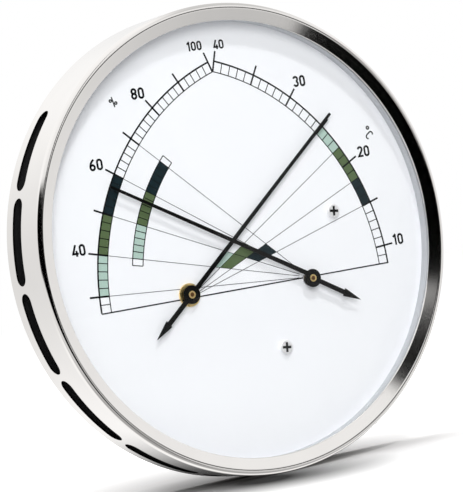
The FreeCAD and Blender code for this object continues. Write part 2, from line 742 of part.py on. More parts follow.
def make_temperature_arbor():
    """The thermometer's shaft with the collar that holds the inner end of the coil."""
    collar_top = "arbor_rear_overrun + coil_collar_length"
    front = "%s + temperature_rise + pointer_sheet + collet_proud - arbor_sunk - %s + arbor_rear_overrun" % (
        DIAL_FRONT, COIL_COLLAR_BACK)
    body = turned_piece("temperature_arbor", [
        ("0", "0"), ("arbor_diameter / 2", "0"), ("arbor_diameter / 2", "arbor_rear_overrun"),
        ("coil_collar_diameter / 2", "arbor_rear_overrun"), ("coil_collar_diameter / 2", collar_top),
        ("arbor_diameter / 2", collar_top), ("arbor_diameter / 2", front), ("0", front)])
    stand(body, THERMOMETER, COIL_COLLAR_BACK + " - arbor_rear_overrun")


def make_pointer(label, reach, tail, head, place, rise, angle, crank=""):
    """A sheet pointer: round hub, tapered arm, and a tail that ends in an arrowhead."""
    body = new_body(label)
    hub = drawing_on(body, "hub_outline")
    add_circle(hub, "pointer_hub")
    pad(body, hub, "pointer_sheet", "hub")
    offset = crank or "0"
    root = "pointer_root_width / 2"
    tip = "pointer_tip_width / 2"
    arm = drawing_on(body, "arm_outline")
    add_outline(arm, [("0", "%s - %s" % (offset, root)), (reach, "-" + tip), (reach, tip),
                      ("0", "%s + %s" % (offset, root))])
    pad(body, arm, "pointer_sheet", "arm")
    if crank:
        boss = drawing_on(body, "crank_outline")
        side = "humidity_crank_width / 2"
        add_outline(boss, [("0", "-" + side), ("humidity_crank_reach", "-" + side),
                           ("humidity_crank_reach", "0"), ("0", "0")])
        pad(body, boss, "pointer_sheet", "crank")
    neck = "-(%s - %s)" % (tail, head)
    stem = "pointer_tail_width / 2"
    barb = "pointer_head_width / 2"
    arrow = drawing_on(body, "tail_outline")
    add_outline(arrow, [("0", "-" + stem), ("0", stem), (neck, stem), (neck, barb), ("-" + tail, "0"),
                        (neck, "-" + barb), (neck, "-" + stem)])
    pad(body, arrow, "pointer_sheet", "tail")
    bore = drawing_on(body, "bore_outline")
    add_circle(bore, "collet_diameter")
    cut_through(body, bore, "bore")
    stand(body, place, "%s + %s" % (DIAL_FRONT, rise), angle)


def make_pointer_collet(label, place, rise):
    """The brass collar that holds a pointer on its arbor."""
    body = turned_piece(label, tube_corners(
        "arbor_diameter / 2", "collet_diameter / 2", "0", "pointer_sheet + 2 * collet_proud"))
    stand(body, place, "%s + %s - collet_proud" % (DIAL_FRONT, rise))


def write_parts():
    """Checks every object and every piece, then writes each piece to its own file."""
    document.recompute()
    for thing in document.Objects:
        if "Invalid" in thing.State or "Error" in thing.State:
            raise RuntimeError("%s (%s) has failed: %s" % (thing.Name, thing.Label, thing.State))
    for piece in subparts:
        shape = piece.Shape
        if shape.isNull() or not shape.isValid() or not shape.Solids:
            raise RuntimeError("%s has no valid solid" % piece.Label)
    os.makedirs("parts", exist_ok=True)
    for piece in subparts:
        piece.Shape.exportStep("parts/%s.step" % piece.Label)
        print("%-28s %d solid(s), %9.2f mm3" % (piece.Label, len(piece.Shape.Solids), piece.Shape.Volume))


fill_sheet()
make_case_shell()
make_window_glass()
make_spacer_ring()
make_dial_plate()
make_back_cover()
make_dial_screws()
make_hygrometer_base()
make_hygrometer_bush()
make_bridge_pillars()
make_hygrometer_bridge()
make_humidity_arbor()
make_hair_crank()
make_link("crank_link", "0", "movement_angle")
make_link("adjuster_link", "hair_reach", "movement_angle + 180")
make_hair_strand()
make_hair_adjuster()
make_spring_stud()
make_spiral("return_spring", SPRING_START, "spring_pitch", "spring_turn_count", "spring_strip",
            "spring_strip_width", HYGROMETER, SPRING_BACK, BRIDGE_ANGLE)
make_thermometer_bush()
make_coil_bracket()
make_thermometer_nut()
make_temperature_arbor()
make_spiral("bimetal_coil", COIL_START, "coil_pitch", "coil_turn_count", "coil_strip",
            "coil_strip_width", THERMOMETER, COIL_BACK, "0")
make_pointer("temperature_pointer", "temperature_reach", "temperature_tail", "temperature_head",
             THERMOMETER, "temperature_rise", "temperature_angle")
make_pointer_collet("temperature_pointer_collet", THERMOMETER, "temperature_rise")
make_pointer("humidity_pointer", "humidity_reach", "humidity_tail", "humidity_head",
             HYGROMETER, "humidity_rise", "humidity_angle", crank="-humidity_crank")
make_pointer_collet("humidity_pointer_collet", HYGROMETER, "humidity_rise")
write_parts()
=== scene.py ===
import math

import bmesh
import bpy
from mathutils import Matrix, Vector


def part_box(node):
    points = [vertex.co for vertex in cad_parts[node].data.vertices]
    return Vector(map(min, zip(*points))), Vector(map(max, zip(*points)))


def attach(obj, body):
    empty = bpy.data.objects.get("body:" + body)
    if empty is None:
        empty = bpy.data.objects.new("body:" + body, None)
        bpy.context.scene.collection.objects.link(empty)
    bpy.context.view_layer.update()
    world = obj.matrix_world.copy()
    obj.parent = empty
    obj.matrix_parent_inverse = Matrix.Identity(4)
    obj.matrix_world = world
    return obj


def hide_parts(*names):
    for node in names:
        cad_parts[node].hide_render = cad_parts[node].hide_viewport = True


# The looks of a round wall instrument that shows room temperature and humidity on one dial.
# The object hangs in the x-z plane and faces -Y. A height is measured from the wall towards the
# viewer, so it is -y. Sizes are millimetres until the point where a mesh is built.

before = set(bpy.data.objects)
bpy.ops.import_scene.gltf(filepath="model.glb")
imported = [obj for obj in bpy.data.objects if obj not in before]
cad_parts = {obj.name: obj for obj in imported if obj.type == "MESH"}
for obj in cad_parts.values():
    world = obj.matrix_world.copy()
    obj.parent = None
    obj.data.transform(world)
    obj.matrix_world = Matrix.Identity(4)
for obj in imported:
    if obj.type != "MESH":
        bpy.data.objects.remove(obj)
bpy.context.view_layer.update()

MM = 0.001


def height_of(node):
    """How far a node's front stands off the wall plane."""
    low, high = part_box(node)
    return -low.y / MM


def middle_of(node):
    """A node's middle on the dial."""
    low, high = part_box(node)
    return ((low.x + high.x) / 2 / MM, (low.z + high.z) / 2 / MM)


# Places read from the frame
CASE_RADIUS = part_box("case_shell")[1].x / MM
DIAL_FRONT = height_of("dial_plate")
HYGROMETER = middle_of("humidity_pointer_collet")

# Case, with the sizes of the CAD source
CASE_DEPTH = 18.645
CASE_SHEET = 0.5
CORNER_RADIUS = 1.4
RING_SLOPE = math.radians(21.3)
RING_WIDTH = 4.9
REAR_EDGE_RADIUS = 0.12
TURNING_STEPS = 384
EDGE_STEPS = 4
CORNER_STEPS = 24
INNER_CORNER_STEPS = 12
LIP_STEPS = 10
SMOOTH_ANGLE = 40

# A point stands this close to each end of a profile's side that is longer than the held length
HELD_LENGTH = 0.4
HOLD = 0.03

# Vents in the side wall, seen from the front and counted from +X
VENT_COUNT = 12
VENT_PITCH = 22.5
VENT_FIRST = 149.6
VENT_WIDTH = 5.1
VENT_LENGTH = 23.4
VENT_REAR_GAP = 3.7
VENT_END_STEPS = 12
VENT_CUT_INWARD = 8
VENT_CUT_OUTWARD = 3

# Spacer ring
SPACER_STEP = 0.3
DISC_PLAY = 0.3
SPACER_EDGE = 0.12

# Dial print, in the dial's plane, with two scale centres at the same height
SCALE_CENTRE_ACROSS = 19.467
SCALE_CENTRE_UP = -13.601
OUTER_ARC = 66.30
INNER_ARC = 63.35
TICK_END = 69.2
BAND_INNER = 52.65
BAND_OUTER = 55.85
INK_LIFT = 0.05
FIELD_LIFT = 0.03
ARC_STEP = 0.5
RAY_START = 3.0
MITRE_LIMIT = 0.4
WIDE_LINE = 0.46
TICK_LINE = 0.50
BASE_LINE = 0.36
THIN_LINE = 0.27
CELL_LINE = 0.25
RAY_LINE = 0.15

# Readings of both scales, and the steps between their ticks and cells
TEMPERATURE_START = 8
TEMPERATURE_END = 40
TEMPERATURE_FIRST_TICK = 10
TEMPERATURE_TICK = 5
TEMPERATURE_START_WAY = -0.17
TEMPERATURE_WAY_STEP = 2.26
HUMIDITY_START = 26
HUMIDITY_END = 100
HUMIDITY_FIRST_TICK = 30
HUMIDITY_TICK = 10
HUMIDITY_CELL = 2
BAND_START = 38
BAND_END = 72

# Numbers and signs
NUMBER_HEIGHT = 3.15
LESSER_HEIGHT = 2.6
PERCENT_HEIGHT = 2.75
PERCENT_PLACE = (-32.6, 41.9)
PERCENT_TURN = 31
DEGREE_HEIGHT = 3.0
DEGREE_PLACE = (47.65, 23.75)
DEGREE_TURN = -56

# The same, as shares of their height
DIGIT_WIDTH = 0.60
DIGIT_STROKE = 0.185
SIGN_STROKE = 0.125
DIGIT_GAP = 0.10
SPINE_RADIUS = 0.75

# Dial screws
SCREW_REACH = 21.0
MOVEMENT_ANGLE = math.radians(56.7)
SCREW_HEAD_RADIUS = 2.0
SCREW_HEAD_HEIGHT = 1.0
SCREW_HEAD_EDGE = 0.3
SCREW_RADIUS = 1.0
SCREW_LENGTH = 2.3
SCREW_STEPS = 48
SCREW_EDGE_STEPS = 6
SCREW_SMOOTH_ANGLE = 35
CROSS_TURN = math.radians(-7)
CROSS_LENGTH = 2.75
CROSS_WIDTH = 0.72
CROSS_DEPTH = 0.55
CROSS_OVERRUN = 1.0

# Hair bundle
FIBRE_COUNT = 9
FIBRE_RADIUS = 0.055
FIBRE_CORNERS = 6
FIBRE_STEPS = 40
FIBRE_SMOOTH_ANGLE = 60
BUNDLE_RADIUS = 0.17
BUNDLE_TWISTS = 3
INNER_FIBRE_EVERY = 3
INNER_FIBRE_SHARE = 0.4


# Meshes

def settle(piece, body, replaced=()):
    """Lets a piece ride on its body and hides the nodes that it replaces."""
    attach(piece, body)
    if replaced:
        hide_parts(*replaced)


def smooth(piece, angle):
    """Smooth shading up to an angle between faces."""
    piece.data.shade_smooth()
    piece.data.set_sharp_from_angle(angle=math.radians(angle))


def new_piece(name, mesh_data, materials, smooth_angle=None):
    """A mesh object of a bmesh, flat or smooth up to an angle between its faces."""
    mesh = bpy.data.meshes.new(name)
    mesh_data.to_mesh(mesh)
    mesh_data.free()
    for material in materials:
        mesh.materials.append(material)
    piece = bpy.data.objects.new(name, mesh)
    bpy.context.scene.collection.objects.link(piece)
    if smooth_angle is not None:
        smooth(piece, smooth_angle)
    return piece


def arc(centre, radius, start, end, steps):
    """Points on an arc, with angles in degrees."""
    angles = [math.radians(start + (end - start) * step / steps) for step in range(steps + 1)]
    return [(centre[0] + radius * math.cos(angle), centre[1] + radius * math.sin(angle))
            for angle in angles]


def held(profile):
    """A closed profile with a point close to each end of its long sides, so that flats shade flat."""
    points = []
    for index, point in enumerate(profile):
        start, end = Vector(point), Vector(profile[(index + 1) % len(profile)])
        points.append(tuple(start))
        length = (end - start).length
        if length > HELD_LENGTH:
            points.append(tuple(start.lerp(end, HOLD / length)))
            points.append(tuple(end.lerp(start, HOLD / length)))
    return points


def turned(profile, centre=(0, 0), steps=TURNING_STEPS, inside_from=None):
    """A closed profile of radius and height turned round a line through a place on the dial."""
    made = bmesh.new()
    rings = []
    for radius, height in profile:
        circle = arc(centre, radius, 0, 360, steps)[:-1] if radius else [centre]
        rings.append([made.verts.new((x * MM, -height * MM, z * MM)) for x, z in circle])
    count = len(rings)
    for index in range(count):
        first, second = rings[index], rings[(index + 1) % count]
        if len(first) == 1 and len(second) == 1:
            continue
        for step in range(steps):
            corners = []
            for ring, places in ((first, (step, step + 1)), (second, (step + 1, step))):
                corners += [ring[place % len(ring)] for place in places] if len(ring) > 1 else [ring[0]]
            face = made.faces.new(corners)
            face.material_index = int(inside_from is not None and index >= inside_from)
    bmesh.ops.recalc_face_normals(made, faces=made.faces[:])
    return made


def add_solid(made, ends):
    """The faces of a solid between two rings of corners."""
    for end in ends:
        made.faces.new(end)
    for index in range(len(ends[0])):
        following = (index + 1) % len(ends[0])
        made.faces.new((ends[0][index], ends[0][following], ends[1][following], ends[1][index]))


def prism(outline, low, high):
    """A solid between two heights with an outline on the dial."""
    made = bmesh.new()
    add_solid(made, [[made.verts.new((x * MM, -height * MM, z * MM)) for x, z in outline]
                     for height in (low, high)])
    bmesh.ops.recalc_face_normals(made, faces=made.faces[:])
    return made


def cut(piece, cutter):
    """Takes a cutter out of a piece and leaves a plain mesh."""
    modifier = piece.modifiers.new("cut", "BOOLEAN")
    modifier.operation = "DIFFERENCE"
    modifier.solver = "EXACT"
    modifier.object = cutter
    result = bpy.data.meshes.new_from_object(piece.evaluated_get(bpy.context.evaluated_depsgraph_get()))
    piece.modifiers.clear()
    piece.data = result
    bpy.data.objects.remove(cutter)


# Materials

# A noise stays between these shares nearly everywhere
NOISE_LOW = 0.3
NOISE_HIGH = 0.7

# How much finer a metal's grain is than its clouds, how far polish varies, and how high grain stands
GRAINS_PER_CLOUD = 12
METAL_POLISH_SPREAD = 0.15
MATTE_POLISH_SPREAD = 0.08
METAL_GRAIN_HEIGHT = 0.00002
MATTE_GRAIN_HEIGHT = 0.00005

GLASS_INDEX = 1.5
DUST_SCALE = 700
DUSTY_TINT = (0.97, 0.98, 0.975, 1)
CLEAR_TINT = (0.985, 0.995, 0.99, 1)


def linear(red, green, blue):
    """A colour as seen on screen, from 0 to 255, in the shader's own scale, by the sRGB curve."""
    shares = [part / 255 for part in (red, green, blue)]
    return tuple(part / 12.92 if part <= 0.04045 else ((part + 0.055) / 1.055) ** 2.4
                 for part in shares) + (1.0,)


def shaded(colour, part):
    """A colour made darker or lighter by a share."""
    return tuple(min(1.0, channel * part) for channel in colour[:3]) + (1.0,)


def new_material(name):
    """A node material and its shader."""
    material = bpy.data.materials.new(name)
    material.use_nodes = True
    return material, material.node_tree, material.node_tree.nodes["Principled BSDF"]


def add_node(tree, kind, **settings):
    """A node with its settings."""
    node = tree.nodes.new(kind)
    for name, setting in settings.items():
        setattr(node, name, setting)
    return node


def noise(tree, scale, detail):
    """A noise in the object's own space."""
    place = add_node(tree, "ShaderNodeTexCoord")
    texture = add_node(tree, "ShaderNodeTexNoise")
    texture.inputs["Scale"].default_value = scale
    texture.inputs["Detail"].default_value = detail
    tree.links.new(place.outputs["Object"], texture.inputs["Vector"])
    return texture.outputs["Fac"]


def ramp(tree, source, low, high, start=NOISE_LOW, end=NOISE_HIGH):
    """Turns a value between start and end into one between low and high."""
    node = add_node(tree, "ShaderNodeMapRange")
    node.inputs["From Min"].default_value = start
    node.inputs["From Max"].default_value = end
    node.inputs["To Min"].default_value = low
    node.inputs["To Max"].default_value = high
    tree.links.new(source, node.inputs["Value"])
    return node.outputs["Result"]


def blend(tree, source, first, second):
    """A colour between two by a noise."""
    node = add_node(tree, "ShaderNodeValToRGB")
    node.color_ramp.elements[0].position = NOISE_LOW
    node.color_ramp.elements[0].color = first
    node.color_ramp.elements[1].position = NOISE_HIGH
    node.color_ramp.elements[1].color = second
    tree.links.new(source, node.inputs["Fac"])
    return node.outputs["Color"]


def add_bump(tree, shader, source, strength, distance):
    """Lets a value raise the surface a little."""
    node = add_node(tree, "ShaderNodeBump")
    node.inputs["Strength"].default_value = strength
    node.inputs["Distance"].default_value = distance
    tree.links.new(source, node.inputs["Height"])
    tree.links.new(node.outputs["Normal"], shader.inputs["Normal"])


def metal(name, colour, roughness, grain_scale=900, variation=0.05, grain=0.1):
    """A metal with a slight change of colour and polish and a fine grain."""
    material, tree, shader = new_material(name)
    shader.inputs["Metallic"].default_value = 1.0
    clouds = noise(tree, grain_scale / GRAINS_PER_CLOUD, detail=4.0)
    tone = blend(tree, clouds, shaded(colour, 1 - variation), shaded(colour, 1 + variation / 2))
    tree.links.new(tone, shader.inputs["Base Color"])
    fine = noise(tree, grain_scale, detail=2.0)
    polish = ramp(tree, fine, roughness * (1 - METAL_POLISH_SPREAD), roughness * (1 + METAL_POLISH_SPREAD))
    tree.links.new(polish, shader.inputs["Roughness"])
    add_bump(tree, shader, fine, grain, METAL_GRAIN_HEIGHT)
    return material


def matte(name, colour, roughness, grain_scale=1500, variation=0.03, grain=0.0, specular=0.5, cloud_scale=40):
    """A plastic, paint or ink with a slight change of tone and, where it has any grain, a fine texture."""
    material, tree, shader = new_material(name)
    shader.inputs["Specular IOR Level"].default_value = specular
    clouds = noise(tree, cloud_scale, detail=4.0)
    tone = blend(tree, clouds, shaded(colour, 1 - variation), shaded(colour, 1 + variation))
    tree.links.new(tone, shader.inputs["Base Color"])
    fine = noise(tree, grain_scale, detail=3.0)
    polish = ramp(tree, fine, roughness * (1 - MATTE_POLISH_SPREAD), roughness * (1 + MATTE_POLISH_SPREAD))
    tree.links.new(polish, shader.inputs["Roughness"])
    if grain:
        add_bump(tree, shader, fine, grain, MATTE_GRAIN_HEIGHT)
    return material


def dull_ink(name, colour, variation, cloud_scale=300):
    """A dull printing ink."""
    return matte(name, colour, 0.6, grain_scale=2000, variation=variation, specular=0.1,
                 cloud_scale=cloud_scale)


def clear_glass(name):
    """Flat glass with faint specks of dust, which lets lamps and soft light through."""
    material, tree, shader = new_material(name)
    shader.inputs["Base Color"].default_value = (1.0, 1.0, 1.0, 1.0)
    shader.inputs["Transmission Weight"].default_value = 1.0
    shader.inputs["IOR"].default_value = GLASS_INDEX
    shader.inputs["Roughness"].default_value = 0.0
    open_way = add_node(tree, "ShaderNodeBsdfTransparent")
    specks = noise(tree, DUST_SCALE, detail=2.0)
    tree.links.new(blend(tree, specks, DUSTY_TINT, CLEAR_TINT), open_way.inputs["Color"])
    path = add_node(tree, "ShaderNodeLightPath")
    soft = add_node(tree, "ShaderNodeMath", operation="MAXIMUM")
    tree.links.new(path.outputs["Is Shadow Ray"], soft.inputs[0])
    tree.links.new(path.outputs["Is Diffuse Ray"], soft.inputs[1])
    mix = add_node(tree, "ShaderNodeMixShader")
    tree.links.new(soft.outputs[0], mix.inputs["Fac"])
    tree.links.new(shader.outputs["BSDF"], mix.inputs[1])
    tree.links.new(open_way.outputs["BSDF"], mix.inputs[2])
    tree.links.new(mix.outputs["Shader"], tree.nodes["Material Output"].inputs["Surface"])
    return material


STEEL = metal("stainless_steel", (0.815, 0.795, 0.775, 1), 0.10, 1400, variation=0.015, grain=0.02)
# The case's inside and its vents' cut edges are near-black: painted shade in the vents
INSIDE_PAINTED_SHADE = matte("case_inside_painted_shade", (0.0025, 0.0025, 0.0025, 1), 0.9, specular=0.02)
SPACER = matte("light_plastic", linear(194, 196, 201), 0.5, grain=0.05)
DIAL = matte("dial_white", linear(250, 250, 255), 0.45, 2500, variation=0.006, grain=0.02, specular=0.3)
GLASS = clear_glass("clear_glass")
COVER = matte("black_plastic", (0.014, 0.014, 0.015, 1), 0.55, 1800, variation=0.1, grain=0.25, specular=0.4)
PLATED = metal("plated_steel", (0.66, 0.66, 0.67, 1), 0.30, 700)
SCREW = metal("plated_screws", (0.93, 0.93, 0.94, 1), 0.50, variation=0.04, grain=0.05)
BRASS = metal("brass", (0.98, 0.74, 0.32, 1), 0.30, variation=0.06, grain=0.08)
# The arbors are coloured dark brown: a painted dark reflection in the hub centres
ARBOR_PAINTED_REFLECTION = metal("arbor_end_painted_reflection", (0.22, 0.11, 0.05, 1), 0.35, variation=0.1, grain=0.05)
BRONZE = metal("bronze_spring", (0.72, 0.50, 0.30, 1), 0.28, grain=0.08)
BIMETAL = metal("bimetal", (0.60, 0.58, 0.54, 1), 0.32, 800, variation=0.07)
HAIR = matte("hair", (0.75, 0.68, 0.52, 1), 0.55, 2500, variation=0.15, grain=0.2)
POINTER = matte("pointer_black", (0.004, 0.004, 0.004, 1), 0.55, variation=0.1, grain=0.03, specular=0.08)
INK = dull_ink("black_ink", (0.006, 0.006, 0.007, 1), variation=0.1, cloud_scale=40)
GREEN = dull_ink("green_ink", linear(88, 105, 72), variation=0.04)
MINT = dull_ink("mint_ink", linear(178, 202, 193), variation=0.03)
DARK = dull_ink("dark_ink", linear(24, 38, 43), variation=0.08)

NODE_MATERIALS = {
    "window_glass": GLASS, "dial_plate": DIAL, "back_cover": COVER,
    "hygrometer_base": PLATED, "hygrometer_bush": PLATED, "bridge_pillars": BRASS,
    "hygrometer_bridge": PLATED, "humidity_arbor": ARBOR_PAINTED_REFLECTION, "hair_crank": BRASS, "crank_link": BRASS,
    "adjuster_link": BRASS, "hair_adjuster": BRASS, "spring_stud": BRASS, "return_spring": BRONZE,
    "thermometer_bush": BRASS, "coil_bracket": PLATED, "thermometer_nut": BRASS,
    "temperature_arbor": ARBOR_PAINTED_REFLECTION, "bimetal_coil": BIMETAL, "temperature_pointer": POINTER,
    "temperature_pointer_collet": BRASS, "humidity_pointer": POINTER, "humidity_pointer_collet": BRASS,
}
for node, material in NODE_MATERIALS.items():
    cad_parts[node].data.materials.clear()
    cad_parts[node].data.materials.append(material)


# Case and spacer ring

def case_profile():
    """The case's section from the rear edge up the outside, round the lip, and back down the inside."""
    corner = (CASE_RADIUS - CORNER_RADIUS, CASE_DEPTH - CORNER_RADIUS)
    ring_way = 90 + math.degrees(RING_SLOPE)
    out = Vector((math.cos(math.radians(ring_way)), math.sin(math.radians(ring_way))))
    along = Vector((-math.cos(RING_SLOPE), -math.sin(RING_SLOPE)))
    ring_start = Vector(corner) + out * CORNER_RADIUS
    ring_length = (ring_start.x - (CASE_RADIUS - RING_WIDTH)) / math.cos(RING_SLOPE)
    half = CASE_SHEET / 2
    lip = ring_start + along * (ring_length - half) - out * half
    edge = (CASE_RADIUS - REAR_EDGE_RADIUS, REAR_EDGE_RADIUS)
    outside = arc(edge, REAR_EDGE_RADIUS, -90, 0, EDGE_STEPS)
    outside += arc(corner, CORNER_RADIUS, 0, ring_way, CORNER_STEPS)
    outside += arc(lip, half, ring_way, ring_way + 180, LIP_STEPS)
    inside = arc(corner, CORNER_RADIUS - CASE_SHEET, ring_way, 0, INNER_CORNER_STEPS)
    inside.append((CASE_RADIUS - CASE_SHEET, 0))
    return outside, inside


def vent_cutter():
    """The solids that open the belt of vents."""
    whole = bmesh.new()
    half = VENT_WIDTH / 2
    middle = VENT_REAR_GAP + half
    straight = (VENT_LENGTH - VENT_WIDTH) / 2
    outline = arc((straight, middle), half, -90, 90, VENT_END_STEPS)
    outline += arc((-straight, middle), half, 90, 270, VENT_END_STEPS)
    for number in range(VENT_COUNT):
        angle = math.radians(VENT_FIRST + number * VENT_PITCH)
        outward = Vector((math.cos(angle), 0, math.sin(angle)))
        aside = Vector((-math.sin(angle), 0, math.cos(angle)))
        ends = []
        for reach in (CASE_RADIUS - VENT_CUT_INWARD, CASE_RADIUS + VENT_CUT_OUTWARD):
            ends.append([whole.verts.new((outward * reach + aside * across + Vector((0, -height, 0))) * MM)
                         for across, height in outline])
        add_solid(whole, ends)
    bmesh.ops.recalc_face_normals(whole, faces=whole.faces[:])
    # The cut edges take the near-black inside colour: painted shade in the vents
    for face in whole.faces:
        face.material_index = 1
    return new_piece("vent_cutter", whole, [STEEL, INSIDE_PAINTED_SHADE])


def make_case():
    """The steel case, near-black inside and at the cut edges of its vents: painted shade in the vents."""
    outside, inside = case_profile()
    profile = held(outside + inside)
    inside_from = profile.index(tuple(Vector(outside[-1])))
    case = new_piece("case", turned(profile, inside_from=inside_from), [STEEL, INSIDE_PAINTED_SHADE])
    cut(case, vent_cutter())
    smooth(case, SMOOTH_ANGLE)
    settle(case, "case", ["case_shell"])


def make_spacer():
    """The ring that keeps the glass off the dial, with its inner edges rounded."""
    inner = CASE_RADIUS - RING_WIDTH + SPACER_STEP
    outer = CASE_RADIUS - CASE_SHEET - DISC_PLAY
    front = height_of("spacer_ring")
    across = inner + SPACER_EDGE
    profile = arc((across, DIAL_FRONT + SPACER_EDGE), SPACER_EDGE, 180, 270, EDGE_STEPS)[::-1]
    profile += arc((across, front - SPACER_EDGE), SPACER_EDGE, 180, 90, EDGE_STEPS)
    profile += [(outer, front), (outer, DIAL_FRONT)]
    spacer = new_piece("spacer", turned(held(profile)), [SPACER], SMOOTH_ANGLE)
    settle(spacer, "case", ["spacer_ring"])


make_case()
make_spacer()


# Dial screws

def make_screw(name, place):
    """A pan-head screw with a cross recess whose walls take the black pointer paint: painted shade in the
    recess.
    """
    top = DIAL_FRONT + SCREW_HEAD_HEIGHT
    profile = [(0, DIAL_FRONT - SCREW_LENGTH), (SCREW_RADIUS, DIAL_FRONT - SCREW_LENGTH),
               (SCREW_RADIUS, DIAL_FRONT), (SCREW_HEAD_RADIUS, DIAL_FRONT)]
    edge = (SCREW_HEAD_RADIUS - SCREW_HEAD_EDGE, top - SCREW_HEAD_EDGE)
    profile += arc(edge, SCREW_HEAD_EDGE, 0, 90, SCREW_EDGE_STEPS)
    profile.append((0, top))
    screw = new_piece(name, turned(held(profile), place, SCREW_STEPS), [SCREW, POINTER])
    long_side, short_side = CROSS_LENGTH / 2, CROSS_WIDTH / 2
    corners = [(long_side, -short_side), (long_side, short_side), (short_side, short_side),
               (short_side, long_side), (-short_side, long_side), (-short_side, short_side),
               (-long_side, short_side), (-long_side, -short_side), (-short_side, -short_side),
               (-short_side, -long_side), (short_side, -long_side), (short_side, -short_side)]
    turn = Matrix.Rotation(CROSS_TURN, 2)
    outline = [tuple(turn @ Vector(corner) + Vector(place)) for corner in corners]
    recess_painted_shade = prism(outline, top - CROSS_DEPTH, top + CROSS_OVERRUN)
    # The recess's walls take the black pointer paint: painted shade
    for face in recess_painted_shade.faces:
        face.material_index = 1
    cut(screw, new_piece("recess", recess_painted_shade, [SCREW, POINTER]))
    smooth(screw, SCREW_SMOOTH_ANGLE)
    return screw


for name, side in (("dial_screw_upper", 1), ("dial_screw_lower", -1)):
    place = (HYGROMETER[0] + side * SCREW_REACH * math.cos(MOVEMENT_ANGLE),
             HYGROMETER[1] + side * SCREW_REACH * math.sin(MOVEMENT_ANGLE))
    settle(make_screw(name, place), "case", ["dial_screws"])


# Dial print

def temperature_way(degrees):
    """The direction of a temperature from the left scale centre, in degrees from +X."""
    return TEMPERATURE_START_WAY + TEMPERATURE_WAY_STEP * (degrees - TEMPERATURE_START)


# Each humidity and its direction from the right scale centre, in degrees from -X
HUMIDITY_WAYS = ((26, 0.1), (30, 3.96), (40, 13.73), (50, 23.49), (60, 33.22), (70, 42.90), (80, 52.46),
                 (90, 62.08), (100, 71.93))


def humidity_way(percent):
    """The direction of a humidity from the right scale centre, in degrees from +X."""
    for (low, low_way), (high, high_way) in zip(HUMIDITY_WAYS, HUMIDITY_WAYS[1:]):
        if percent <= high:
            return 180 - (low_way + (high_way - low_way) * (percent - low) / (high - low))


def on_scale(side, radius, way):
    """A point at a radius and a direction from the left (-1) or right (1) scale centre."""
    angle = math.radians(way)
    return (side * SCALE_CENTRE_ACROSS + radius * math.cos(angle), SCALE_CENTRE_UP + radius * math.sin(angle))


def add_stroke(ink, points, width, closed=False):
    """A line of even width through points."""
    count = len(points)
    sides = []
    for index, point in enumerate(points):
        here = Vector(point)
        before = Vector(points[index - 1]) if index or closed else None
        after = Vector(points[(index + 1) % count]) if index < count - 1 or closed else None
        ways = [(second - first).normalized() for first, second in ((before, here), (here, after))
                if first is not None and second is not None]
        normals = [Vector((-way.y, way.x)) for way in ways]
        middle = sum(normals, Vector((0, 0))).normalized()
        reach = width / 2 / max(MITRE_LIMIT, middle.dot(normals[0]))
        sides.append([here + middle * reach, here - middle * reach])
    verts = [[ink.verts.new((side.x * MM, 0, side.y * MM)) for side in pair] for pair in sides]
    for index in range(count if closed else count - 1):
        following = (index + 1) % count
        ink.faces.new((verts[index][0], verts[index][1], verts[following][1], verts[following][0]))


def add_field(ink, side, inner, outer, start, end):
    """A filled stretch of a scale between two radii and two directions."""
    steps = max(1, round(abs(end - start) / ARC_STEP))
    ways = [start + (end - start) * step / steps for step in range(steps + 1)]
    rows = []
    for way in ways:
        points = [on_scale(side, radius, way) for radius in (inner, outer)]
        rows.append([ink.verts.new((x * MM, 0, z * MM)) for x, z in points])
    for first, second in zip(rows, rows[1:]):
        ink.faces.new((first[0], first[1], second[1], second[0]))


def add_arc(ink, side, radius, start, end, width):
    """A printed arc about a scale centre."""
    steps = max(1, round(abs(end - start) / ARC_STEP))
    add_stroke(ink, [on_scale(side, radius, start + (end - start) * step / steps)
                     for step in range(steps + 1)], width)


def print_piece(name, ink, material, lift):
    """Turns flat strokes and fields into a thin print on the dial."""
    for vert in ink.verts:
        vert.co.y = -(DIAL_FRONT + lift) * MM
    ink.normal_update()
    bmesh.ops.reverse_faces(ink, faces=[face for face in ink.faces if face.normal.y > 0])
    piece = new_piece(name, ink, [material])
    thickness = piece.modifiers.new("thickness", "SOLIDIFY")
    thickness.thickness = lift * MM
    settle(piece, "case")


TEMPERATURE_FIELDS = ((15, 18, "dark"), (18, 22, "green"), (22, 25, "mint"))
HUMIDITY_FIELDS = ((30, 40, "mint"), (40, 50, "green"), (50, 60, "dark"))
BAND_FIELDS = ((40, 50, "mint"), (50, 60, "green"), (60, 70, "dark"))
ZONES = ((15, 18, 50, 70, "dark"), (18, 22, 40, 60, "green"), (22, 25, 40, 50, "mint"))
TEMPERATURE_RAYS = (15, 18, 22, 25)
HUMIDITY_RAYS = (30, 40, 50, 60, 70)


def ray_crossing(degrees, percent):
    """Where a temperature's ray meets a humidity's ray."""
    left_way = math.radians(temperature_way(degrees))
    right_way = math.radians(humidity_way(percent))
    left = Vector((math.cos(left_way), math.sin(left_way)))
    right = Vector((math.cos(right_way), math.sin(right_way)))
    apart = 2 * SCALE_CENTRE_ACROSS
    reach = apart * right.y / (left.x * right.y - left.y * right.x)
    return (-SCALE_CENTRE_ACROSS + reach * left.x, SCALE_CENTRE_UP + reach * left.y)


